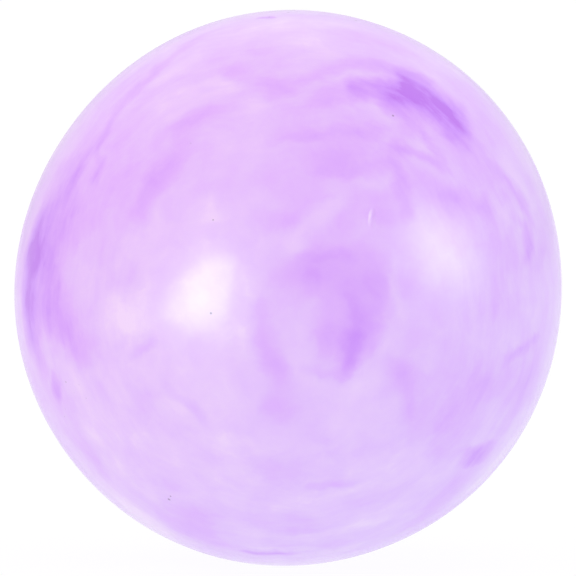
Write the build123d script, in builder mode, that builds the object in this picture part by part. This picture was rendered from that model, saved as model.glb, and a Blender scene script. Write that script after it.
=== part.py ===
from build123d import *

import os

# An inflatable juggling ball: a moulded vinyl skin, its valve seat and its valve plug.
# Millimetres, +Z up. The origin is the centre of the ball, and the valve faces +Y.

# Ball
BALL_DIAMETER = 100.0
SKIN_THICKNESS = 6.0

# Boss: the thickening inside the skin that holds the valve.
BOSS_DIAMETER = 17.0
BOSS_DEPTH = 13.5  # from the ball's surface to the boss's inner face
BOSS_ROOT_FILLET = 3.0
BOSS_RIM_FILLET = 1.5

# Valve seat. Depths are from the ball's surface, inwards along the valve's axis.
SEAT_FLANGE_DIAMETER = 11.0
SEAT_FLANGE_DEPTH = 2.6
SEAT_BODY_DIAMETER = 7.0
SEAT_RIB_DIAMETER = 8.6
SEAT_RIB_DEPTHS = (5.6, 8.8)
SEAT_RIB_WIDTH = 1.2
SEAT_DEPTH = 14.0
SEAT_RECESS = 0.1  # how far the flange's outer face lies under the ball's surface
SEAT_RIM_FILLET = 0.25
SEAT_END_CHAMFER = 0.5

# Bores of the seat: the plug's head recess, the plug's stem bore and the needle bore.
HEAD_RECESS_DIAMETER = 6.6
HEAD_RECESS_DEPTH = 1.5
STEM_BORE_DIAMETER = 3.0
STEM_BORE_DEPTH = 8.6
NEEDLE_BORE_DIAMETER = 2.2
NEEDLE_LEAD_IN_ANGLE = 90.0

# Notches in the recess's rim, where a fingernail gets under the plug's head.
NAIL_NOTCH_DIAMETER = 2.4
NAIL_NOTCH_COUNT = 2

# Valve plug. Grooves round its stem leave lands between them that the seat grips.
HEAD_DIAMETER = 6.2
HEAD_SINK = 0.15  # how far the head's dome lies under the ball's surface
HEAD_RIM_FILLET = 0.3
GATE_DIMPLE_DIAMETER = 1.4
GATE_DIMPLE_DEPTH = 0.25
STEM_DIAMETER = 2.9
STEM_LENGTH = 6.6
STEM_TIP_CHAMFER = 0.6
STEM_GROOVE_DIAMETER = 2.5
STEM_GROOVE_WIDTH = 0.7
STEM_GROOVE_DEPTHS = (2.9, 4.4, 5.9)

OVERRUN = 2.0  # how far a cutting shape runs past the surface that it cuts

BALL_RADIUS = BALL_DIAMETER / 2
# The sphere that cuts the gate's dimple: its cap is as wide and as deep as the dimple.
DIMPLE_CUTTER_RADIUS = (GATE_DIMPLE_DIAMETER**2 / 4 + GATE_DIMPLE_DEPTH**2) / (2 * GATE_DIMPLE_DEPTH)


def valve_plane(depth):
    """The plane across the valve's axis at a depth under the ball's surface, facing outwards."""
    return Plane(origin=(0, BALL_RADIUS - depth, 0), x_dir=(1, 0, 0), z_dir=(0, 1, 0))


# The room that the seat fills in the skin and its boss: flange, body and ribs.
with BuildPart() as seat_room:
    with BuildSketch(valve_plane(SEAT_FLANGE_DEPTH)):
        Circle(SEAT_FLANGE_DIAMETER / 2)
    extrude(amount=SEAT_FLANGE_DEPTH + OVERRUN)
    with BuildSketch(valve_plane(SEAT_DEPTH)):
        Circle(SEAT_BODY_DIAMETER / 2)
    extrude(amount=SEAT_DEPTH)
    for rib_depth in SEAT_RIB_DEPTHS:
        with BuildSketch(valve_plane(rib_depth + SEAT_RIB_WIDTH)):
            Circle(SEAT_RIB_DIAMETER / 2)
        extrude(amount=SEAT_RIB_WIDTH)

# Shell: the hollow skin, with the valve's boss standing inwards from it.
with BuildPart() as shell:
    Sphere(BALL_RADIUS)
    Sphere(BALL_RADIUS - SKIN_THICKNESS, mode=Mode.SUBTRACT)
    with BuildSketch(valve_plane(BOSS_DEPTH)):
        Circle(BOSS_DIAMETER / 2)
    extrude(amount=BOSS_DEPTH - SKIN_THICKNESS / 2)
    boss_rings = shell.faces().filter_by(GeomType.CYLINDER).edges().filter_by(GeomType.CIRCLE)
    boss_rim, boss_root = boss_rings.sort_by(Axis.Y)
    fillet(boss_root, BOSS_ROOT_FILLET)
    fillet(boss_rim, BOSS_RIM_FILLET)
    add(seat_room.part, mode=Mode.SUBTRACT)
shell.part.label = "shell"

# Valve seat: a flanged bush, flush with the ball's surface and open to the air inside.
with BuildPart() as valve_seat:
    add(seat_room.part)
    Sphere(BALL_RADIUS - SEAT_RECESS, mode=Mode.INTERSECT)
    inner_rim = valve_seat.edges().filter_by(GeomType.CIRCLE).sort_by(Axis.Y)[0]
    chamfer(inner_rim, SEAT_END_CHAMFER)
    with Locations(valve_plane(0)):
        CounterBoreHole(
            radius=STEM_BORE_DIAMETER / 2,
            counter_bore_radius=HEAD_RECESS_DIAMETER / 2,
            counter_bore_depth=HEAD_RECESS_DEPTH,
            depth=STEM_BORE_DEPTH,
        )
    with Locations(valve_plane(STEM_BORE_DEPTH)):
        CounterSinkHole(
            radius=NEEDLE_BORE_DIAMETER / 2,
            counter_sink_radius=STEM_BORE_DIAMETER / 2,
            counter_sink_angle=NEEDLE_LEAD_IN_ANGLE,
            depth=SEAT_DEPTH - STEM_BORE_DEPTH + OVERRUN,
        )
    with BuildSketch(valve_plane(HEAD_RECESS_DEPTH)):
        with PolarLocations(HEAD_RECESS_DIAMETER / 2, NAIL_NOTCH_COUNT):
            Circle(NAIL_NOTCH_DIAMETER / 2)
    extrude(amount=HEAD_RECESS_DEPTH, mode=Mode.SUBTRACT)
    flange_face = valve_seat.faces().filter_by(GeomType.SPHERE)
    fillet(flange_face.edges(), SEAT_RIM_FILLET)
valve_seat.part.label = "valve_seat"

# Valve plug: a domed head that fills the recess, and a stem that ends short of the needle bore.
with BuildPart() as valve_plug:
    with BuildSketch(valve_plane(HEAD_RECESS_DEPTH)):
        Circle(HEAD_DIAMETER / 2)
    extrude(amount=HEAD_RECESS_DEPTH + OVERRUN)
    Sphere(BALL_RADIUS - HEAD_SINK, mode=Mode.INTERSECT)
    dome_rim = valve_plug.faces().sort_by(Axis.Y)[-1].edges()
    fillet(dome_rim, HEAD_RIM_FILLET)
    with Locations(valve_plane(HEAD_SINK + GATE_DIMPLE_DEPTH - DIMPLE_CUTTER_RADIUS)):
        Sphere(DIMPLE_CUTTER_RADIUS, mode=Mode.SUBTRACT)
    with BuildSketch(valve_plane(HEAD_RECESS_DEPTH)):
        Circle(STEM_DIAMETER / 2)
    extrude(amount=-STEM_LENGTH)
    stem_tip = valve_plug.edges().filter_by(GeomType.CIRCLE).sort_by(Axis.Y)[0]
    chamfer(stem_tip, STEM_TIP_CHAMFER)
    for groove_depth in STEM_GROOVE_DEPTHS:
        with BuildSketch(valve_plane(groove_depth + STEM_GROOVE_WIDTH)):
            Circle(STEM_DIAMETER / 2)
            Circle(STEM_GROOVE_DIAMETER / 2, mode=Mode.SUBTRACT)
        extrude(amount=STEM_GROOVE_WIDTH, mode=Mode.SUBTRACT)
valve_plug.part.label = "valve_plug"

os.makedirs("parts", exist_ok=True)
for piece in (shell, valve_seat, valve_plug):
    export_step(piece.part, f"parts/{piece.part.label}.step")
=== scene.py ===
import math
import random

import bmesh
import bpy
from mathutils import Matrix, Vector, noise


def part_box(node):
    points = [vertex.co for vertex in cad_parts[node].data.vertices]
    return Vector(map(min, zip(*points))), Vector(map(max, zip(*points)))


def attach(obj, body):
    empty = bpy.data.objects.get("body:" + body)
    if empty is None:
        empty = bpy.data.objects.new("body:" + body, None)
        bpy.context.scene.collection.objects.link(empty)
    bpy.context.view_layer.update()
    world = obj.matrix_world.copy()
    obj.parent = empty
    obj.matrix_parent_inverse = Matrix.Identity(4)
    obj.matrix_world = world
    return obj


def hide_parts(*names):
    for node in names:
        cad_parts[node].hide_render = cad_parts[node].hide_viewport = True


# A hollow juggling ball of glossy marbled vinyl, its valve seat and its valve plug.
# Metres, in the frame's axes: +Z up, the valve faces +Y, and the camera looks along +Y.

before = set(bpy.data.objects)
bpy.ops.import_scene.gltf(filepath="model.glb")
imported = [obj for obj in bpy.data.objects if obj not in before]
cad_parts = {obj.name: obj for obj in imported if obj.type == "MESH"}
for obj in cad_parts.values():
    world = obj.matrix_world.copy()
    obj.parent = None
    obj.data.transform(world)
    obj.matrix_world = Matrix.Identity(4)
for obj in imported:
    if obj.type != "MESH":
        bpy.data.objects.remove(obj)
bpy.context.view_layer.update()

# The frame's origin is the ball's centre, so a node's highest corner gives its radius.
MM = 0.001
BALL_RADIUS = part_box("shell")[1].z
SEAT_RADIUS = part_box("valve_seat")[1].x

# Camera: a long lens, a little above the ball's middle.
CAMERA_DISTANCE = 40 * BALL_RADIUS
CAMERA_ELEVATION = 4.5  # in degrees
FRAME_FILL = 0.965  # the ball's height as a share of the frame's
FRAME_SHIFT = (-0.0017, 0.0009)  # of the lens, in frame widths
CAMERA_FAR_CLIP = 20.0

# Windows: soft panels that the gloss reflects. Each has its name, degrees right of the front, degrees up,
# width and height in ball radii, glow, and the edges of its glow as shape_glow takes them.
WINDOW_DISTANCE = 4 * BALL_RADIUS
WINDOW_TINT = (0.62, 1.0, 0.75)  # greenish, so that its light over lilac vinyl comes out white
GLOW_REACH = (3.36 * BALL_RADIUS, 3.58 * BALL_RADIUS)  # full up to the first distance, gone by the second
ROUND_EDGES = tuple((facing, 0.50, 0.40) for facing in range(0, 360, 45))
BAY_EDGES = (
    (-3, 0.60, 0.13),
    (90, 0.72, 0.20),
    (139, 0.38, 0.22),
    (225, 0.58, 0.28),
    (270, 0.54, 0.34),
    (315, 0.57, 0.26),
)
WINDOWS = (
    ("left_window", -34.5, 0.5, (3.0, 3.0), 6.2, BAY_EDGES),
    ("right_window", 62.5, 14, (4.4, 3.6), 4.5, ROUND_EDGES),
    ("back_window", 200, 12, (3.0, 3.0), 6.0, BAY_EDGES),
)

# Walls and floor. The floor glows nearly as white as the walls, so only a breath of shadow is left on it.
WALL_GLOW = 1.0
FLOOR_GLOW = 0.92
FLOOR_COLOUR = (0.09, 0.09, 0.09, 1)
FLOOR_RADIUS = 4.0
FLOOR_SIDES = 96

# The gloss sees the studio a little bluer than the eye does, dimmer near the floor and brighter overhead.
GLOSS_TINT = (0.97, 0.92, 1.10)
FLOOR_IN_GLOSS = 0.82
WALLS_IN_GLOSS = 0.82
CEILING_IN_GLOSS = 1.05
CEILING_FROM = 0.6  # the upward part of a direction that already meets the ceiling

# The real skin's small departures from a sphere.
LONG_AXIS_LEAN = math.radians(21)  # from +Z towards +X
LONG_SEMI_AXIS = 1.0026  # in ball radii
SHORT_SEMI_AXIS = 0.9824
LOBES = (  # waves round the view axis: how many, height in ball radii, place of a crest from +X
    (3, 0.0030, math.radians(79)),
    (5, 0.0016, math.radians(36)),
)
SWELL_HEIGHT = 0.00035  # random swells, in ball radii
SWELL_FREQUENCY = 3.2

# The skin's mesh.
GRID_CUTS = 87  # cuts across each face of the cube that is blown up into the sphere
VALVE_RINGS = 44  # rings of faces from the cube's edges to the valve
ROUND_FROM = math.radians(8)  # the angle from the valve's axis within which the skin is a true sphere
ROUND_TO = math.radians(40)
INSIDE_RINGS = 44
SOCKET_RIM_STEPS = 6
FILLET_STEPS = 8
SHARP_ANGLE = math.radians(40)  # faces that meet more sharply than this are not smoothed together

# The valve's socket in the skin: depths are from the ball's surface along the valve's axis.
SOCKET_RIM_ROUNDING = 0.2 * MM
SOCKET_DEPTH = 2.6 * MM
BODY_RADIUS = 3.5 * MM
RIB_RADIUS = 4.3 * MM
RIB_DEPTHS = (5.6 * MM, 8.8 * MM)
RIB_WIDTH = 1.2 * MM
BOSS_RADIUS = 8.5 * MM
BOSS_DEPTH = 13.5 * MM
BOSS_RIM_FILLET = 1.5 * MM
BOSS_ROOT_FILLET = 3.0 * MM
SKIN_THICKNESS = 6.0 * MM

# A nick in the skin, as a longitude and latitude on the side that the camera sees.
NICK_PLACE = (17.6, 14.4)
NICK_LEAN = math.radians(76)  # its long axis, anticlockwise from the camera's right
NICK_HALF_LENGTH = 2.1 * MM
NICK_HALF_WIDTH = 0.75 * MM
NICK_DEPTH = 0.2 * MM
NICK_SOFTNESS = 1.5  # above 1 its edge runs smoothly into the skin
NICK_MESH_RADIUS = math.radians(2.8)
NICK_MESH_CUTS = 7


# ---------------------------------------------------------------- directions from the ball's centre


def from_front(right, up):
    """The direction so many degrees to the right of the front, which is -Y, and so many up."""
    turn = math.radians(right)
    rise = math.radians(up)
    return Vector((math.sin(turn) * math.cos(rise), -math.cos(turn) * math.cos(rise), math.sin(rise)))


def toward(longitude, latitude):
    """The direction of a place in degrees right of, and above, the point that faces the camera."""
    return Matrix.Rotation(-math.radians(CAMERA_ELEVATION), 3, "X") @ from_front(longitude, latitude)


def about_valve(tilt, around):
    """The direction that leans from the valve's axis by one angle, and is turned round it by another."""
    return Vector((math.sin(tilt) * math.cos(around), math.cos(tilt), math.sin(tilt) * math.sin(around)))


def smooth_step(value, low, high):
    """0 below low, 1 above high, and a smooth rise between them."""
    share = min(max((value - low) / (high - low), 0), 1)
    return share * share * (3 - 2 * share)


# ---------------------------------------------------------------- objects in the scene


def add_object(name, data):
    """A new object of a mesh, a light or a camera."""
    new = bpy.data.objects.new(name, data)
    bpy.context.scene.collection.objects.link(new)
    return new


def add_mesh_object(name, mesh):
    """A new object of a finished bmesh."""
    data = bpy.data.meshes.new(name)
    mesh.to_mesh(data)
    mesh.free()
    return add_object(name, data)


def face_ball(thing, away, distance):
    """Puts a light or a camera at a distance in a direction, and turns it to the ball."""
    thing.location = away * distance
    thing.rotation_mode = "QUATERNION"
    thing.rotation_quaternion = away.to_track_quat("Z", "Y")


# ---------------------------------------------------------------- the skin's mesh


def skin_radius(direction):
    """How far the outside of the skin is from the ball's centre, in ball radii."""
    along = direction.x * math.sin(LONG_AXIS_LEAN) + direction.z * math.cos(LONG_AXIS_LEAN)
    across = direction.x * math.cos(LONG_AXIS_LEAN) - direction.z * math.sin(LONG_AXIS_LEAN)
    squared = (along / LONG_SEMI_AXIS) ** 2 + (across / SHORT_SEMI_AXIS) ** 2 + direction.y**2
    radius = 1 / math.sqrt(squared)
    off_axis = math.hypot(direction.x, direction.z)
    angle = math.atan2(direction.z, direction.x)
    for count, height, crest in LOBES:
        radius += height * off_axis**count * math.cos(count * (angle - crest))
    radius += SWELL_HEIGHT * noise.noise(direction * SWELL_FREQUENCY)
    from_valve = math.acos(max(-1, min(1, direction.y)))
    return 1 + (radius - 1) * smooth_step(from_valve, ROUND_FROM, ROUND_TO)


def nick_depth(direction):
    """How deep the nick is in a direction, in metres."""
    middle = toward(*NICK_PLACE)
    right = Vector((0, 0, 1)).cross(middle).normalized()
    up = middle.cross(right)
    lengthways = right * math.cos(NICK_LEAN) + up * math.sin(NICK_LEAN)
    sideways = up * math.cos(NICK_LEAN) - right * math.sin(NICK_LEAN)
    offset = (direction - middle) * BALL_RADIUS
    along = offset.dot(lengthways) / NICK_HALF_LENGTH
    across = offset.dot(sideways) / NICK_HALF_WIDTH
    reach = along**2 + across**2
    if direction.dot(middle) < 0 or reach > 1:
        return 0
    return NICK_DEPTH * (1 - reach) ** NICK_SOFTNESS


def skin_point(direction):
    """The point of the skin's outside in a direction."""
    return direction * (BALL_RADIUS * skin_radius(direction) - nick_depth(direction))


def arc(centre, radius, start, end, steps):
    """Points (distance from the valve's axis, y) along an arc from one angle to another, in radians."""
    points = []
    for step in range(steps + 1):
        angle = start + (end - start) * step / steps
        points.append((centre[0] + radius * math.cos(angle), centre[1] + radius * math.sin(angle)))
    return points


def socket_profile():
    """The skin's section from the rim of the valve's socket, through the boss and round the inside."""
    rim_radius = SEAT_RADIUS + SOCKET_RIM_ROUNDING
    rim_slope = math.asin(rim_radius / BALL_RADIUS)
    rim_level = BALL_RADIUS * math.cos(rim_slope) - SOCKET_RIM_ROUNDING
    rim_centre = (rim_radius, rim_level)
    points = arc(rim_centre, SOCKET_RIM_ROUNDING, math.pi / 2 - rim_slope, math.pi, SOCKET_RIM_STEPS)
    socket_floor = BALL_RADIUS - SOCKET_DEPTH
    points += [(SEAT_RADIUS, socket_floor), (BODY_RADIUS, socket_floor)]
    for depth in RIB_DEPTHS:
        rib_top = BALL_RADIUS - depth
        rib_bottom = rib_top - RIB_WIDTH
        points += [(BODY_RADIUS, rib_top), (RIB_RADIUS, rib_top)]
        points += [(RIB_RADIUS, rib_bottom), (BODY_RADIUS, rib_bottom)]
    boss_floor = BALL_RADIUS - BOSS_DEPTH
    points.append((BODY_RADIUS, boss_floor))
    boss_centre = (BOSS_RADIUS - BOSS_RIM_FILLET, boss_floor + BOSS_RIM_FILLET)
    points += arc(boss_centre, BOSS_RIM_FILLET, -math.pi / 2, 0, FILLET_STEPS)
    inside_radius = BALL_RADIUS - SKIN_THICKNESS
    root_x = BOSS_RADIUS + BOSS_ROOT_FILLET
    root_y = math.sqrt((inside_radius - BOSS_ROOT_FILLET) ** 2 - root_x**2)
    root_angle = math.atan2(root_y, root_x)
    points += arc((root_x, root_y), BOSS_ROOT_FILLET, math.pi, root_angle, FILLET_STEPS)
    inside = arc((0, 0), inside_radius, root_angle, -math.pi / 2, INSIDE_RINGS)
    return points + inside[1:-1]


def blown_up_cube():
    """Directions all over the skin: a cube's grid without its +Y face, blown up to a sphere."""
    mesh = bmesh.new()
    bmesh.ops.create_cube(mesh, size=2)
    bmesh.ops.subdivide_edges(mesh, edges=mesh.edges, cuts=GRID_CUTS, use_grid_fill=True)
    almost_one = 0.999  # the +Y face lies at y = 1
    valve_side = [face for face in mesh.faces if face.calc_center_median().y > almost_one]
    bmesh.ops.delete(mesh, geom=valve_side, context="FACES")
    for vert in mesh.verts:
        vert.co = Vector([math.tan(part * math.pi / 4) for part in vert.co]).normalized()
    return mesh


def ring_of(mesh, points):
    """A new vertex at each point."""
    return [mesh.verts.new(point) for point in points]


def join_rings(mesh, first, second):
    """A belt of faces between two rings of as many vertices."""
    for index, vert in enumerate(first):
        after = (index + 1) % len(first)
        mesh.faces.new((vert, first[after], second[after], second[index]))


def add_valve_rings(mesh):
    """Adds rings of directions from the grid's open edge to the valve's socket, and returns the last."""
    edge_verts = {vert for edge in mesh.edges if edge.is_boundary for vert in edge.verts}
    ring = sorted(edge_verts, key=lambda vert: math.atan2(vert.co.z, vert.co.x))
    starts = [vert.co.copy() for vert in ring]
    rim_angle = math.asin((SEAT_RADIUS + SOCKET_RIM_ROUNDING) / BALL_RADIUS)
    for step in range(1, VALVE_RINGS + 1):
        share = step / VALVE_RINGS
        directions = []
        for start in starts:
            around = math.atan2(start.z, start.x)
            tilt = math.acos(start.y) * (1 - share) + rim_angle * share
            directions.append(about_valve(tilt, around))
        inner = ring_of(mesh, directions)
        join_rings(mesh, ring, inner)
        ring = inner
    return ring


def refine_nick(mesh):
    """Cuts the faces round the nick finely enough to hold its shape."""
    middle = toward(*NICK_PLACE)
    edges = set()
    for face in mesh.faces:
        if face.calc_center_median().normalized().angle(middle) < NICK_MESH_RADIUS:
            edges.update(face.edges)
    bmesh.ops.subdivide_edges(mesh, edges=list(edges), cuts=NICK_MESH_CUTS, use_grid_fill=True)
    for vert in mesh.verts:
        vert.co.normalize()


def add_inside(mesh, rim):
    """Turns the socket's profile round the valve's axis, from the rim on, and closes the far side."""
    around = [math.atan2(vert.co.z, vert.co.x) for vert in rim]
    ring = rim
    for radius, level in socket_profile()[1:]:
        points = [(radius * math.cos(angle), level, radius * math.sin(angle)) for angle in around]
        inner = ring_of(mesh, points)
        join_rings(mesh, ring, inner)
        ring = inner
    pole = mesh.verts.new((0, SKIN_THICKNESS - BALL_RADIUS, 0))
    for index, vert in enumerate(ring):
        mesh.faces.new((vert, ring[(index + 1) % len(ring)], pole))


def make_skin():
    """The whole skin as one closed mesh: outside, valve socket, boss and inside."""
    mesh = blown_up_cube()
    refine_nick(mesh)
    rim = add_valve_rings(mesh)
    for vert in mesh.verts:
        vert.co = skin_point(vert.co)
    add_inside(mesh, rim)
    bmesh.ops.recalc_face_normals(mesh, faces=mesh.faces)
    skin = add_mesh_object("skin", mesh)
    skin.data.shade_smooth()
    skin.data.set_sharp_from_angle(angle=SHARP_ANGLE)
    return skin


# ---------------------------------------------------------------- shader helpers


class Nodes:
    """A node tree with short calls. Each adds a node and feeds its inputs, and most return its output."""

    def __init__(self, tree):
        self.tree = tree

    def feed(self, socket, value):
        if isinstance(value, bpy.types.NodeSocket):
            self.tree.links.new(value, socket)
        else:
            socket.default_value = value

    def add(self, kind, inputs=None, **settings):
        node = self.tree.nodes.new("ShaderNode" + kind)
        for name, value in settings.items():
            setattr(node, name, value)
        for name, value in (inputs or {}).items():
            self.feed(node.inputs[name], value)
        return node

    def math(self, operation, *values):
        node = self.add("Math", operation=operation)
        for socket, value in zip(node.inputs, values):
            self.feed(socket, value)
        return node.outputs["Value"]

    def vector(self, operation, *values):
        node = self.add("VectorMath", operation=operation)
        for socket, value in zip(node.inputs, values):
            self.feed(socket, value)
        return node.outputs["Value" if operation in ("LENGTH", "DISTANCE", "DOT_PRODUCT") else "Vector"]

    def scale(self, vector, factor):
        node = self.add("VectorMath", {"Scale": factor}, operation="SCALE")
        self.feed(node.inputs[0], vector)
        return node.outputs["Vector"]

    def parts(self, vector):
        """A vector's X, Y and Z, by name."""
        return self.add("SeparateXYZ", {"Vector": vector}).outputs

    def object_place(self):
        """Where a point of the object is, in metres."""
        return self.add("TexCoord").outputs["Object"]

    def noise(self, place, scale, detail, roughness):
        inputs = {"Vector": place, "Scale": scale, "Detail": detail, "Roughness": roughness}
        return self.add("TexNoise", inputs).outputs["Fac"]

    def rise(self, value, low, high, to_low=0.0, to_high=1.0, smooth=True):
        """Maps low..high to to_low..to_high, and holds the ends beyond that."""
        inputs = {"Value": value, "From Min": low, "From Max": high, "To Min": to_low, "To Max": to_high}
        kind = "SMOOTHSTEP" if smooth else "LINEAR"
        return self.add("MapRange", inputs, interpolation_type=kind, clamp=not smooth).outputs["Result"]

    def ramp(self, value, stops):
        """A colour ramp through (position, colour) stops."""
        node = self.add("ValToRGB", {"Fac": value})
        elements = node.color_ramp.elements
        for element, (position, colour) in zip(elements, (stops[0], stops[-1])):
            element.position = position
            element.color = (*colour, 1)
        for position, colour in stops[1:-1]:
            elements.new(position).color = (*colour, 1)
        return node.outputs["Color"]

    def mix(self, share, first, second, blend="MIX"):
        """Mixes two colours. Their sockets go by number, because the Mix node repeats the names."""
        node = self.add("Mix", data_type="RGBA", blend_type=blend)
        self.feed(node.inputs[0], share)
        self.feed(node.inputs[6], first)
        self.feed(node.inputs[7], second)
        return node.outputs[2]

    def bump(self, height, strength, distance):
        inputs = {"Height": height, "Strength": strength, "Distance": distance}
        return self.add("Bump", inputs).outputs["Normal"]


def new_material(name, constants):
    """A material, its Nodes, and its Principled shader with what is the same all over it."""
    material = bpy.data.materials.new(name)
    material.use_nodes = True
    nodes = Nodes(material.node_tree)
    shader = material.node_tree.nodes["Principled BSDF"]
    for socket, value in constants.items():
        shader.inputs[socket].default_value = value
    return material, nodes, shader


def linear(red, green, blue):
    """A colour as seen on screen, in parts of 255, as linear light by the sRGB formula."""
    parts = [part / 255 for part in (red, green, blue)]
    return [part / 12.92 if part <= 0.04045 else ((part + 0.055) / 1.055) ** 2.4 for part in parts]


def linear_stops(stops):
    """The stops of a ramp with their colours as linear light."""
    return [(position, linear(*colour)) for position, colour in stops]


# ---------------------------------------------------------------- the marbled vinyl

# What is the same all over the vinyl's surface.
VINYL = {
    "IOR": 1.45,
    "Subsurface Weight": 0.25,
    "Subsurface Radius": (1.0, 0.7, 1.0),
    "Subsurface Scale": 1.2 * MM,
    "Coat Weight": 0.8,
    "Coat Roughness": 0.1,
    "Coat IOR": 1.45,
}

# The vinyl's noises. Scales are in waves to a ball radius, and reach is how far a place moves, in radii.
WARP_ROUGHNESS = 0.55
BEND = {"scale": 3.2, "reach": 0.08, "detail": 2.0}  # makes the streaks wander
FRAY = {"scale": 10.0, "reach": 0.085, "detail": 3.0}  # frays their edges
SWIRL_BEND = {"scale": 1.7, "reach": 0.28, "detail": 2.0}  # makes the fibres wander
CLOUDS = {"scale": 2.6, "detail": 6.0, "roughness": 0.56}
FIBRES = {"scale": 1.6, "detail": 6.0, "roughness": 0.58}
FINE_FIBRES = {"scale": 6.0, "detail": 4.0, "roughness": 0.6}
SCUFFS = {"scale": 9.0, "detail": 5.0, "roughness": 0.6}
ORANGE_PEEL = {"scale": 60.0, "detail": 3.0, "roughness": 0.5}

# Fibres run in circles round the valve's axis.
FIBRE_STRETCH = 4.2  # how many times finer they are across than along
FIBRE_FADE = (0.3, 0.8)  # from none to full, in ball radii from the axis

# How much pigment each pattern adds.
CLOUD_SPAN = (0.30, 0.70)  # the clouds' noise, from least to most pigment
CLOUD_PIGMENT = (0.02, 0.43)
FIBRE_PIGMENT = 0.55
FINE_FIBRE_PIGMENT = 0.11
STREAK_SHARE = 0.95  # of a streak's own strength, before the fine fibres vary it
STREAK_FIBRES = 0.6  # how strongly they vary it

# The surface's roughness and relief.
SCUFF_SPAN = (0.35, 0.70)  # the scuffs' noise, from least to most rough
VINYL_ROUGHNESS = (0.34, 0.44)
ORANGE_PEEL_STRENGTH = 0.04
ORANGE_PEEL_HEIGHT = 0.05 * MM

# The gloss adds a little white to every colour seen, so the vinyl under it is a little deeper.
GLOSS_VEIL = 0.045
GLOSS_PASSES = 0.93

# Pigment from none to most, and the colour that it shows as.
PIGMENT_STOPS = (
    (0.00, (245, 217, 252)),
    (0.12, (237, 204, 252)),
    (0.25, (232, 195, 252)),
    (0.40, (228, 182, 252)),
    (0.60, (220, 166, 251)),
    (0.80, (211, 151, 250)),
    (1.00, (196, 122, 239)),
)

# Painted shade over the pigment: a faint gradient from pinker at the upper left of the view to darker and
# bluer at the lower right.
PAINTED_SHADE_WAY = (0.55, 0.0, -0.68)
PAINTED_SHADE_SPAN = 0.8  # either side of the middle, along PAINTED_SHADE_WAY
PAINTED_SHADE_STOPS = ((0.0, (1.0, 0.965, 0.99)), (1.0, (0.885, 0.985, 1.0)))

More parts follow.
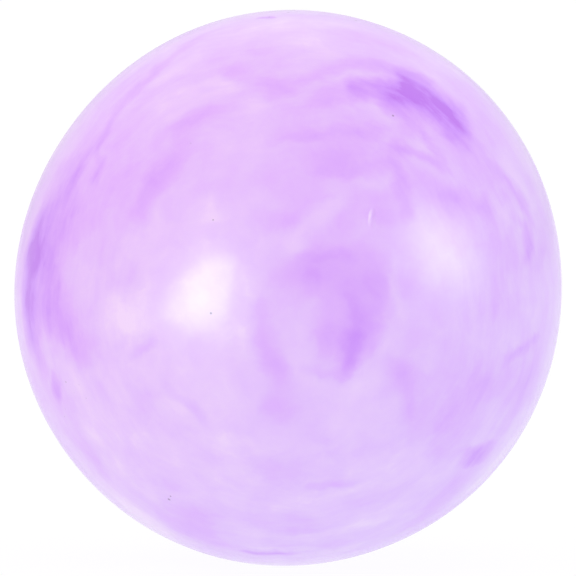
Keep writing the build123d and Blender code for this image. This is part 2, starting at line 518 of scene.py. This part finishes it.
# Streaks of pigment on the side that the camera sees. Each is an arc through three places, as longitude
# and latitude in degrees, with its half-width in degrees and its strength. It fades away towards its
# edge, and has thinned to half at its ends.
DARK_STREAKS = (
    # soft clouds that the finer streaks lie in
    ((-57, 24), (-59, 4), (-53, -12), 18.0, 0.26),
    ((16, 37), (32, 36), (43, 29), 11.0, 0.14),
    ((-24, 22), (-14, 24), (-2, 24), 12.0, 0.06),
    ((1, 3), (8, -2), (12, -14), 17.0, 0.18),
    ((63, 0), (60, -14), (51, -36), 16.0, 0.12),
    ((-64, -16), (-60, -28), (-50, -40), 12.0, 0.05),
    ((22, 23), (31, 20), (41, 15), 7.0, 0.19),
    ((66, -20), (66, -32), (58, -46), 12.0, 0.14),
    ((-60, 32), (-56, 46), (-44, 62), 12.0, 0.12),
    ((-44, 42), (-38, 47), (-31, 50), 6.0, 0.10),
    ((-60, 21), (-58, 29), (-53, 36), 6.0, 0.15),
    ((40, 16), (46, 2), (42, -14), 17.0, 0.15),
    ((-17, -57), (-2, -59), (16, -57), 8.0, 0.24),
    # the strongest streak, upper right, with its fork and its faint tail
    ((29.5, 44.8), (39, 42.5), (50, 34), 9.5, 0.92),
    ((36, 49), (42, 49), (48, 46.5), 5.0, 0.42),
    ((17, 44.5), (24, 45.5), (32, 45.5), 5.0, 0.48),
    ((4, 41), (14, 43), (26, 46), 5.0, 0.25),
    # left limb: a dark core, its body, its tail, and fainter threads above
    ((-65, 17), (-70, 3), (-69.5, -14), 8.0, 0.72),
    ((-61, 12), (-62, 0), (-59, -8), 11.0, 0.36),
    ((-56, -7), (-52, -11.5), (-46, -14), 6.5, 0.20),
    ((-57, 25), (-60, 19), (-62, 12), 4.0, 0.22),
    ((-56, 24), (-56, 15), (-53, 9), 4.0, 0.18),
    # upper left arc
    ((-34.5, 14), (-30.5, 23), (-25.5, 31), 4.5, 0.26),
    ((-29, 33), (-24, 37), (-14, 44), 4.5, 0.20),
    ((-16, 44), (-8, 44), (1, 42), 5.0, 0.10),
    # outer upper left arc, and blobs between the two
    ((-51, 29), (-54, 41), (-50, 52), 3.0, 0.22),
    ((-50, 50), (-48, 60), (-42, 69), 3.0, 0.22),
    ((-47, 30), (-45, 32), (-43, 34), 4.0, 0.10),
    ((-49, 22), (-49, 25), (-48.5, 28), 3.2, 0.22),
    # band across the top, and a thin dark dash near the top
    ((-22, 52), (-6, 46.5), (12, 49), 4.5, 0.20),
    ((10, 51), (25, 52), (38, 51), 4.0, 0.18),
    ((-26, 76), (-20, 76.5), (-12, 76), 2.0, 0.5),
    # bands above the centre
    ((4, 26), (16, 27.5), (30, 30), 6.0, 0.20),
    ((0, 33), (14, 33.5), (28, 34), 2.6, 0.18),
    ((8, 24), (18, 25), (28, 28), 2.8, 0.16),
    ((26, 31), (32, 27), (37, 24), 2.0, 0.24),
    # arcs under the strongest streak
    ((24, 43), (29, 38), (32, 33), 4.0, 0.28),
    ((34, 36), (36, 30), (37, 25), 2.6, 0.22),
    # thin upright line, arcs and a spot on the right
    ((25, 26), (24.7, 20), (25, 14), 3.0, 0.30),
    ((33, 20), (42, 18.5), (50, 14), 4.5, 0.20),
    ((54, 20), (56, 17), (57, 12), 4.2, 0.20),
    ((53, 25), (60, 20), (65, 14), 4.0, 0.34),
    ((60.5, 14), (61.5, 10), (61, 6), 4.0, 0.32),
    # centre patch and its tongues
    ((1, 3), (9, 3), (18, -1), 9.0, 0.10),
    ((2, 6.5), (9, 7), (18, 5.5), 3.0, 0.10),
    ((4, 2), (5.6, 2.2), (7, 1.5), 3.0, 0.12),
    ((11.5, -1), (12.3, -8), (11.5, -17), 3.2, 0.24),
    ((12.3, -8.5), (12.5, -12.5), (12, -16), 3.6, 0.30),
    ((7, -3), (7, -8), (7.5, -13), 4.5, 0.24),
    ((15, -4), (15.5, -9), (15, -14), 4.5, 0.20),
    ((15, 1), (18, -0.5), (19, -3), 4.5, 0.08),
    ((3, -16), (8, -17), (13, -16.5), 2.4, 0.15),
    # round the patch: a hook on its left, and short soft arcs
    ((-6, -4), (-5, -11.5), (-1, -19), 4.2, 0.32),
    ((-6, -22), (-3, -23), (1, -25), 5.0, 0.14),
    ((-8, 14.5), (-3, 14.2), (3, 13.5), 4.0, 0.13),
    ((-40, 1), (-36, 1), (-32, 3.5), 5.0, 0.16),
    ((19, 20), (21, 17), (23, 13), 4.5, 0.13),
    # lower left: a dark spot, a blob and two thin lines
    ((-64, -19.5), (-62.5, -21), (-61, -22.5), 6.0, 0.36),
    ((-48, -20), (-42, -24), (-36, -27), 8.0, 0.12),
    ((-36, -15), (-33, -14), (-29, -11), 2.0, 0.2),
    ((-27, -20.5), (-23, -24), (-20, -28), 2.2, 0.15),
    # lower right: an arc, a broad patch, a thin line and a dark blob
    ((22, -14), (26, -20), (27, -28), 3.6, 0.15),
    ((45, -14), (43, -21), (38, -29), 9.0, 0.22),
    ((53, -15), (60, -12), (66, -11), 2.4, 0.28),
    ((57, -34), (58, -37), (59, -40), 7.5, 0.50),
    # bottom: an arc, a patch and thin lines
    ((-34, -50), (-27, -57), (-18, -61), 4.0, 0.07),
    ((-14, -37), (-9, -38), (-2, -37), 6.0, 0.13),
    ((5, -46), (12, -44.5), (20, -43), 1.8, 0.18),
    ((-28, -70), (-15, -71.5), (2, -71), 2.0, 0.4),
)

# Places where the vinyl is paler than round them, in the same form. Two of them paint the left highlight's
# glow into the colour.
PALE_STREAKS_AND_PAINTED_HIGHLIGHTS = (
    ((1, -5), (1, -11), (1, -17), 5.0, 0.04),
    ((5, -2.5), (5.7, -5), (5, -8), 4.5, 0.06),
    ((1, 8), (5, 13), (12, 18), 4.0, 0.16),
    ((21.5, 6), (22, 0), (24, -5), 2.2, 0.14),
    ((-17, 19), (-17, 16), (-16, 13), 5.0, 0.12),
    # painted highlight: the left highlight's tail, to its lower left
    ((-44, -9), (-37, -7), (-29, -4.5), 7.0, 0.10),
    # partly paler vinyl, partly painted highlight: the glow below the left highlight
    ((-32, -3), (-25, -14), (-20, -27), 16.0, 0.21),
    ((-24, -36), (4, -41), (34, -37), 17.0, 0.13),
    ((-43, 14), (-36, 28), (-24, 39), 10.0, 0.10),
    ((31, -11.5), (31.5, -14), (32, -17), 5.5, 0.12),
    ((-20, -67), (-5, -68.5), (15, -68), 1.8, 0.16),
)

STREAK_DEPTH = 0.5  # how far a streak reaches in from the surface, in ball radii: it stays on one side
HALF_AT_END = 1.414  # where a streak ends, in half-lengths, to have thinned to half at its given ends

# Streaks on the side that the camera doesn't see, placed at random. Each row is how many, and the lowest
# and highest tilt from the valve's axis, half-length and half-width, all in degrees, and strength.
BACK_STREAKS = (
    (11, (16, 98), (10, 24), (11.0, 18.0), (0.08, 0.20)),
    (26, (14, 96), (5, 16), (2.2, 6.0), (0.12, 0.42)),
    (2, (24, 80), (8, 14), (5.0, 9.0), (0.60, 0.90)),
)
BACK_DRIFT = 7  # how far a streak's ends may draw nearer to the axis or away from it, in degrees
BACK_LEAN = 0.02  # how far its middle may be off its circle, in radians
BACK_SEED = 7


def streak_group():
    """The node group of one streak, which adds its pigment to what is there before it, up to 1 in all.

    Along, Across and Outward are its axes, each divided by the streak's size that way.
    """
    tree = bpy.data.node_groups.new("pigment streak", "ShaderNodeTree")
    for name in ("Place", "Middle", "Along", "Across", "Outward"):
        tree.interface.new_socket(name, in_out="INPUT", socket_type="NodeSocketVector")
    for name in ("Bend", "Strength", "Before"):
        tree.interface.new_socket(name, in_out="INPUT", socket_type="NodeSocketFloat")
    tree.interface.new_socket("Pigment", in_out="OUTPUT", socket_type="NodeSocketFloat")
    given = tree.nodes.new("NodeGroupInput").outputs
    nodes = Nodes(tree)
    from_middle = nodes.vector("SUBTRACT", given["Place"], given["Middle"])
    along = nodes.vector("DOT_PRODUCT", from_middle, given["Along"])
    across = nodes.vector("DOT_PRODUCT", from_middle, given["Across"])
    outward = nodes.vector("DOT_PRODUCT", from_middle, given["Outward"])
    along_squared = nodes.math("MULTIPLY", along, along)
    bent_across = nodes.math("MULTIPLY_ADD", along_squared, given["Bend"], across)
    squares = nodes.math("MULTIPLY", along_squared, along_squared)
    for part in (bent_across, outward):
        squares = nodes.math("MULTIPLY_ADD", part, part, squares)
    own_pigment = nodes.rise(nodes.math("SQRT", squares), 1.0, 0.0, 0.0, given["Strength"])
    room = nodes.math("SUBTRACT", 1.0, given["Before"])
    pigment = nodes.math("MULTIPLY_ADD", own_pigment, room, given["Before"])
    result = tree.nodes.new("NodeGroupOutput")
    tree.links.new(pigment, result.inputs["Pigment"])
    return tree


def streak_inputs(start, middle, end, half_width, strength):
    """What the streak group needs to draw an arc through three directions."""
    chord = end - start
    along = chord.normalized()
    outward = (start + end).normalized()
    across = outward.cross(along)
    rise = (middle - (start + end) / 2).dot(across)
    length_reach = chord.length / 2 * HALF_AT_END
    width_reach = math.radians(half_width)
    return {
        "Middle": (start + end) / 2 + across * rise,
        "Along": along / length_reach,
        "Across": across / width_reach,
        "Outward": outward / STREAK_DEPTH,
        "Bend": rise * HALF_AT_END**2 / width_reach,
        "Strength": strength,
    }


def add_streaks(nodes, group, place, streaks):
    """The pigment of several streaks at a place."""
    total = 0.0
    for streak in streaks:
        node = nodes.add("Group", node_tree=group)
        nodes.feed(node.inputs["Place"], place)
        nodes.feed(node.inputs["Before"], total)
        for name, value in streak_inputs(*streak).items():
            node.inputs[name].default_value = value
        total = node.outputs["Pigment"]
    return total


def seen_streaks(rows):
    """The rows of a streak table with their places as directions."""
    streaks = []
    for *places, half_width, strength in rows:
        directions = [toward(*place) for place in places]
        streaks.append((*directions, half_width, strength))
    return streaks


def back_streaks():
    """Streaks like those in front, curved round the valve's axis."""
    rng = random.Random(BACK_SEED)
    streaks = []
    for count, tilts, half_lengths, half_widths, strengths in BACK_STREAKS:
        for _ in range(count):
            tilt = math.radians(rng.uniform(*tilts))
            around = rng.uniform(0, 2 * math.pi)
            half_turn = math.radians(rng.uniform(*half_lengths)) / math.sin(tilt)
            drift = math.radians(rng.uniform(-BACK_DRIFT, BACK_DRIFT))
            places = []
            for side in (-1, 0, 1):
                lean = (1 - abs(side)) * rng.uniform(-BACK_LEAN, BACK_LEAN)
                places.append(about_valve(tilt + side * drift + lean, around + side * half_turn))
            streaks.append((*places, rng.uniform(*half_widths), rng.uniform(*strengths)))
    return streaks


# Dark specks under the gloss: longitude, latitude and radius, in degrees.
SPECKS = (
    (-24, 31, 0.30),
    (27.6, 37.6, 0.26),
    (-1, 81, 0.35),
    (-17, 76, 0.25),
    (55, 73, 0.35),
    (-66, 28, 0.35),
    (-67.5, 26.5, 0.30),
    (-63.5, 29.5, 0.25),
    (-57.7, -19.5, 0.32),
    (-56.3, -20.5, 0.22),
    (-55.6, -21.8, 0.22),
    (-52.8, -20, 0.24),
    (-51.7, -23, 0.22),
    (-62.4, -25.5, 0.24),
    (-64.7, -27.3, 0.26),
    (-40, -48.5, 0.32),
    (-38.5, -47.5, 0.20),
    (53, -11, 0.30),
    (-16, -5, 0.24),
    (-16, 14, 0.22),
)
SPECK_EDGE = (1.3, 0.6)  # where a speck starts and where it is full, in its radii
SPECK_STRENGTH = 0.6
SPECK_COLOUR = (0.16, 0.08, 0.22, 1)

# Specks on the side that the camera doesn't see, placed at random.
BACK_SPECKS = 16
BACK_SPECK_TILTS = (12, 85)  # from the valve's axis, in degrees
BACK_SPECK_RADII = (0.18, 0.34)


def speck_places():
    """The direction of each speck, in front and on the back, and its radius in ball radii."""
    specks = []
    for longitude, latitude, radius in SPECKS:
        specks.append((toward(longitude, latitude), math.radians(radius)))
    rng = random.Random(BACK_SEED)
    for _ in range(BACK_SPECKS):
        tilt = math.radians(rng.uniform(*BACK_SPECK_TILTS))
        around = rng.uniform(0, 2 * math.pi)
        specks.append((about_valve(tilt, around), math.radians(rng.uniform(*BACK_SPECK_RADII))))
    return specks


def add_specks(nodes, place):
    """1 inside a speck, 0 outside."""
    start, full = SPECK_EDGE
    total = None
    for direction, radius in speck_places():
        distance = nodes.vector("DISTANCE", place, direction)
        speck = nodes.rise(distance, radius * start, radius * full)
        total = speck if total is None else nodes.math("MAXIMUM", total, speck)
    return total


def warp(nodes, place, scale, reach, detail):
    """The place moved about by coloured noise, by up to about half of reach each way."""
    inputs = {"Vector": place, "Scale": scale, "Detail": detail, "Roughness": WARP_ROUGHNESS}
    colour = nodes.add("TexNoise", inputs).outputs["Color"]
    centred = nodes.vector("SUBTRACT", colour, (0.5, 0.5, 0.5))
    return nodes.vector("ADD", place, nodes.scale(centred, reach))


def swirl_place(nodes, place):
    """Coordinates that draw a noise out along circles round the valve's axis, and the distance from it."""
    unit = nodes.vector("NORMALIZE", place)
    tilt = nodes.math("ARCCOSINE", nodes.parts(unit)["Y"])
    flat = nodes.vector("MULTIPLY", unit, (1.0, 0.0, 1.0))
    circle = nodes.parts(nodes.vector("NORMALIZE", flat))
    stretched_tilt = nodes.math("MULTIPLY", tilt, FIBRE_STRETCH)
    swirl = {"X": circle["X"], "Y": stretched_tilt, "Z": circle["Z"]}
    off_axis = nodes.vector("LENGTH", flat)
    return nodes.add("CombineXYZ", swirl).outputs["Vector"], off_axis


def vinyl_pigment(nodes, place):
    """How much pigment is at a place: streaks, with clouds and fibres between them, less under pale
    streaks and painted highlights.
    """
    frayed = warp(nodes, warp(nodes, place, **BEND), **FRAY)
    group = streak_group()
    dark = add_streaks(nodes, group, frayed, seen_streaks(DARK_STREAKS) + back_streaks())
    # pale streaks of the vinyl, and painted highlights round the left highlight
    pale = add_streaks(nodes, group, frayed, seen_streaks(PALE_STREAKS_AND_PAINTED_HIGHLIGHTS))

    swirl, off_axis = swirl_place(nodes, warp(nodes, place, **SWIRL_BEND))
    fibre_noise = nodes.noise(swirl, **FIBRES)
    fine_noise = nodes.noise(swirl, **FINE_FIBRES)
    cloud_noise = nodes.noise(frayed, **CLOUDS)
    off_pole = nodes.rise(off_axis, *FIBRE_FADE)
    clouds = nodes.rise(cloud_noise, *CLOUD_SPAN, *CLOUD_PIGMENT, smooth=False)
    fibres = nodes.math("MULTIPLY", nodes.math("SUBTRACT", fibre_noise, 0.5), off_pole)
    fine_fibres = nodes.math("MULTIPLY", nodes.math("SUBTRACT", fine_noise, 0.5), off_pole)

    streak_share = nodes.math("MULTIPLY_ADD", fine_fibres, STREAK_FIBRES, STREAK_SHARE)
    streaks = nodes.math("MULTIPLY", dark, streak_share)
    pigment = nodes.math("ADD", streaks, clouds)
    pigment = nodes.math("MULTIPLY_ADD", fibres, FIBRE_PIGMENT, pigment)
    pigment = nodes.math("MULTIPLY_ADD", fine_fibres, FINE_FIBRE_PIGMENT, pigment)
    return nodes.math("SUBTRACT", pigment, pale)


def vinyl_colour(nodes, place):
    """The colour of the vinyl under its gloss: its pigment, the painted shade over it, and its specks."""
    stops = []
    for position, colour in linear_stops(PIGMENT_STOPS):
        stops.append((position, [max(0, (part - GLOSS_VEIL) / GLOSS_PASSES) for part in colour]))
    pigmented = nodes.ramp(vinyl_pigment(nodes, place), stops)
    # painted shade: darker and bluer towards the lower right of the view, pinker towards the upper left
    along_painted_shade = nodes.vector("DOT_PRODUCT", place, PAINTED_SHADE_WAY)
    painted_shade = nodes.ramp(nodes.rise(along_painted_shade, -PAINTED_SHADE_SPAN, PAINTED_SHADE_SPAN, smooth=False), PAINTED_SHADE_STOPS)
    tinted = nodes.mix(1.0, pigmented, painted_shade, "MULTIPLY")
    specks = nodes.math("MULTIPLY", add_specks(nodes, place), SPECK_STRENGTH)
    return nodes.mix(specks, tinted, SPECK_COLOUR)


def marbled_vinyl():
    """Translucent lilac vinyl with purple pigment in streaks and clouds, under a glossy surface."""
    material, nodes, shader = new_material("skin_vinyl", VINYL)
    place = nodes.scale(nodes.object_place(), 1 / BALL_RADIUS)
    nodes.feed(shader.inputs["Base Color"], vinyl_colour(nodes, place))
    scuffs = nodes.noise(place, **SCUFFS)
    nodes.feed(shader.inputs["Roughness"], nodes.rise(scuffs, *SCUFF_SPAN, *VINYL_ROUGHNESS))
    orange_peel = nodes.noise(place, **ORANGE_PEEL)
    relief = nodes.bump(orange_peel, ORANGE_PEEL_STRENGTH, ORANGE_PEEL_HEIGHT)
    nodes.feed(shader.inputs["Normal"], relief)
    nodes.feed(shader.inputs["Coat Normal"], relief)
    return material


# ---------------------------------------------------------------- the valve's materials

# Colours are as seen on screen, in parts of 255. Noise scales are in waves to a metre. A span is the
# stretch of a noise over which a value goes from its least to its most.

# The seat's rubber, and the painted shade that darkens its recess.
RUBBER = {
    "Subsurface Weight": 0.2,
    "Subsurface Radius": (1.0, 0.7, 1.0),
    "Subsurface Scale": 0.6 * MM,
}
RUBBER_GRAIN = {"scale": 900.0, "detail": 4.0, "roughness": 0.6}
RUBBER_CLOUDS = {"scale": 260.0, "detail": 4.0, "roughness": 0.55}
RUBBER_CLOUD_SHARE = 0.8  # of the shade: the grain has the rest
RUBBER_STOPS = ((0.3, (186, 148, 226)), (0.5, (200, 164, 236)), (0.7, (214, 182, 242)))
RUBBER_GRAIN_SPAN = (0.3, 0.7)
RUBBER_ROUGHNESS = (0.42, 0.58)
RUBBER_GRAIN_STRENGTH = 0.25
RUBBER_GRAIN_HEIGHT = 0.03 * MM
RECESS_SHADE_COLOUR = (140, 110, 170)
RECESS_SHADE_DEPTHS = (0.35 * MM, 1.5 * MM)  # under the ball's surface, from none of the painted shade to the most
RECESS_SHADE_MOST = 0.45

# The plug's plastic. Its relief is of turned rings and scratches.
PLUG = {
    "Subsurface Weight": 0.15,
    "Subsurface Scale": 0.5 * MM,
}
PLUG_CLOUDS = {"scale": 420.0, "detail": 5.0, "roughness": 0.55}
PLUG_STOPS = ((0.3, (222, 208, 236)), (0.55, (236, 226, 244)), (0.75, (244, 238, 248)))
PLUG_CLOUD_SPAN = (0.3, 0.7)
PLUG_ROUGHNESS = (0.26, 0.38)
PLUG_RELIEF_STRENGTH = 0.2
PLUG_RELIEF_HEIGHT = 0.01 * MM
RING_PITCH = 0.22 * MM
RING_HEIGHT = 0.5  # of the relief
SCRATCHES = {"scale": 5200.0, "detail": 2.0, "roughness": 0.5}
SCRATCH_STRETCH = (1.0, 1.0, 0.08)  # draws them out along Z
SCRATCH_SPAN = (0.62, 0.72)
SCRATCH_DEPTH = 0.6  # of the relief
SCRATCH_ROUGHNESS = 0.15


def valve_rubber():
    """Soft lilac rubber with a fine grain, painted shade deeper in its recess, and a satin surface."""
    material, nodes, shader = new_material("seat_rubber", RUBBER)
    place = nodes.object_place()
    grain = nodes.noise(place, **RUBBER_GRAIN)
    clouds = nodes.math("MULTIPLY", nodes.noise(place, **RUBBER_CLOUDS), RUBBER_CLOUD_SHARE)
    shade = nodes.math("MULTIPLY_ADD", grain, 1 - RUBBER_CLOUD_SHARE, clouds)
    unshaded_rubber = nodes.ramp(shade, linear_stops(RUBBER_STOPS))
    # painted shade: the rubber is darker and greyer the deeper it lies in the recess
    depth = nodes.math("SUBTRACT", BALL_RADIUS, nodes.parts(place)["Y"])
    recess_shade = nodes.rise(depth, *RECESS_SHADE_DEPTHS, 0.0, RECESS_SHADE_MOST)
    with_recess_shade = nodes.mix(recess_shade, unshaded_rubber, (*linear(*RECESS_SHADE_COLOUR), 1))
    nodes.feed(shader.inputs["Base Color"], with_recess_shade)
    nodes.feed(shader.inputs["Roughness"], nodes.rise(grain, *RUBBER_GRAIN_SPAN, *RUBBER_ROUGHNESS))
    nodes.feed(shader.inputs["Normal"], nodes.bump(grain, RUBBER_GRAIN_STRENGTH, RUBBER_GRAIN_HEIGHT))
    return material


def plug_plastic():
    """Pale moulded plastic with faint turned rings from its mould, and fine scratches from fingernails."""
    material, nodes, shader = new_material("plug_moulding", PLUG)
    place = nodes.object_place()
    off_axis = nodes.vector("LENGTH", nodes.vector("MULTIPLY", place, (1.0, 0.0, 1.0)))
    rings = nodes.math("SINE", nodes.math("MULTIPLY", off_axis, 2 * math.pi / RING_PITCH))
    clouds = nodes.noise(place, **PLUG_CLOUDS)
    nodes.feed(shader.inputs["Base Color"], nodes.ramp(clouds, linear_stops(PLUG_STOPS)))

    stretched = nodes.vector("MULTIPLY", place, SCRATCH_STRETCH)
    scratches = nodes.rise(nodes.noise(stretched, **SCRATCHES), *SCRATCH_SPAN)
    smooth_parts = nodes.rise(clouds, *PLUG_CLOUD_SPAN, *PLUG_ROUGHNESS)
    roughness = nodes.math("MULTIPLY_ADD", scratches, SCRATCH_ROUGHNESS, smooth_parts)
    nodes.feed(shader.inputs["Roughness"], roughness)

    ring_height = nodes.math("MULTIPLY", rings, RING_HEIGHT)
    height = nodes.math("MULTIPLY_ADD", scratches, -SCRATCH_DEPTH, ring_height)
    nodes.feed(shader.inputs["Normal"], nodes.bump(height, PLUG_RELIEF_STRENGTH, PLUG_RELIEF_HEIGHT))
    return material


def paint(node, material):
    """Gives a CAD node one material all over."""
    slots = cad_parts[node].material_slots
    for slot in slots:
        slot.material = material


# ---------------------------------------------------------------- studio


def glow_for(nodes, direct, in_gloss):
    """A colour to glow with: plain grey to the camera and the vinyl, and one of its own to the gloss."""
    is_gloss = nodes.add("LightPath").outputs["Is Glossy Ray"]
    return nodes.mix(is_gloss, (direct, direct, direct, 1), in_gloss)


def make_floor(level):
    """A pale, glowing, round floor at a height."""
    mesh = bmesh.new()
    bmesh.ops.create_circle(mesh, cap_ends=True, segments=FLOOR_SIDES, radius=FLOOR_RADIUS)
    floor = add_mesh_object("floor", mesh)
    floor.location = (0, 0, level)
    constants = {
        "Base Color": FLOOR_COLOUR,
        "Specular IOR Level": 0,
        "Roughness": 1,
        "Emission Strength": 1.0,
    }
    material, nodes, shader = new_material("studio_floor", constants)
    in_gloss = (*[part * FLOOR_IN_GLOSS for part in GLOSS_TINT], 1)
    nodes.feed(shader.inputs["Emission Color"], glow_for(nodes, FLOOR_GLOW, in_gloss))
    floor.data.materials.append(material)


def make_walls():
    """White walls all round, which the gloss sees tinted, and brighter towards the ceiling."""
    world = bpy.data.worlds.new("studio")
    bpy.context.scene.world = world
    world.use_nodes = True
    nodes = Nodes(world.node_tree)
    upward = nodes.parts(nodes.add("TexCoord").outputs["Generated"])["Z"]
    brightness = nodes.rise(upward, 0.0, CEILING_FROM, WALLS_IN_GLOSS, CEILING_IN_GLOSS)
    background = world.node_tree.nodes["Background"]
    nodes.feed(background.inputs["Color"], glow_for(nodes, WALL_GLOW, nodes.scale(GLOSS_TINT, brightness)))
    background.inputs["Strength"].default_value = 1.0


def make_window(name, azimuth, elevation, size, glow, edges):
    """A soft panel light that shows only in the gloss, so many degrees right of the front and up."""
    data = bpy.data.lights.new(name, "AREA")
    data.shape = "RECTANGLE"
    data.size, data.size_y = (side * BALL_RADIUS for side in size)
    data.energy = glow * data.size * data.size_y * math.pi
    data.color = WINDOW_TINT
    data.use_shadow = False
    shape_glow(data, edges)
    light = add_object(name, data)
    face_ball(light, from_front(azimuth, elevation), WINDOW_DISTANCE)
    light.visible_camera = False
    light.visible_diffuse = False
    light.visible_transmission = False


def shape_glow(light_data, edges):
    """Cuts a panel light's glow to a soft-edged shape, and ends it short of the ball's far side.

    Each edge is the way it faces, in degrees from the panel's right, and how far out it is and how far it
    fades either side of that, in half-panels.
    """
    light_data.use_nodes = True
    nodes = Nodes(light_data.node_tree)
    corner_place = nodes.add("NewGeometry").outputs["Parametric"]
    place = nodes.vector("MULTIPLY_ADD", corner_place, (2.0, 2.0, 0.0), (-1.0, -1.0, 0.0))
    distance = nodes.add("LightPath").outputs["Ray Length"]
    full_to, gone_by = GLOW_REACH
    glow = nodes.rise(distance, gone_by, full_to)
    for facing, reach, fade in edges:
        turn = math.radians(facing)
        out = nodes.vector("DOT_PRODUCT", place, (math.cos(turn), math.sin(turn), 0.0))
        glow = nodes.math("MULTIPLY", glow, nodes.rise(out, reach + fade, reach - fade))
    emission = light_data.node_tree.nodes["Emission"]
    nodes.feed(emission.inputs["Strength"], glow)


def make_camera():
    """A camera in front and a little above, whose frame the ball nearly fills."""
    data = bpy.data.cameras.new("camera")
    half_view = math.tan(math.asin(BALL_RADIUS / CAMERA_DISTANCE)) / FRAME_FILL
    data.lens = data.sensor_width / 2 / half_view
    data.shift_x, data.shift_y = FRAME_SHIFT
    data.clip_end = CAMERA_FAR_CLIP
    camera = add_object("camera", data)
    face_ball(camera, from_front(0, CAMERA_ELEVATION), CAMERA_DISTANCE)
    bpy.context.scene.camera = camera


# ---------------------------------------------------------------- the scene

# The skin stands for the plain shell. The seat and the plug keep their shapes and get better materials.
skin = make_skin()
skin.data.materials.append(marbled_vinyl())
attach(skin, "ball")
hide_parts("shell")

paint("valve_seat", valve_rubber())
paint("valve_plug", plug_plastic())

make_floor(min(vert.co.z for vert in skin.data.vertices))
make_walls()
for window in WINDOWS:
    make_window(*window)
make_camera()
bpy.context.scene.view_settings.view_transform = "Standard"
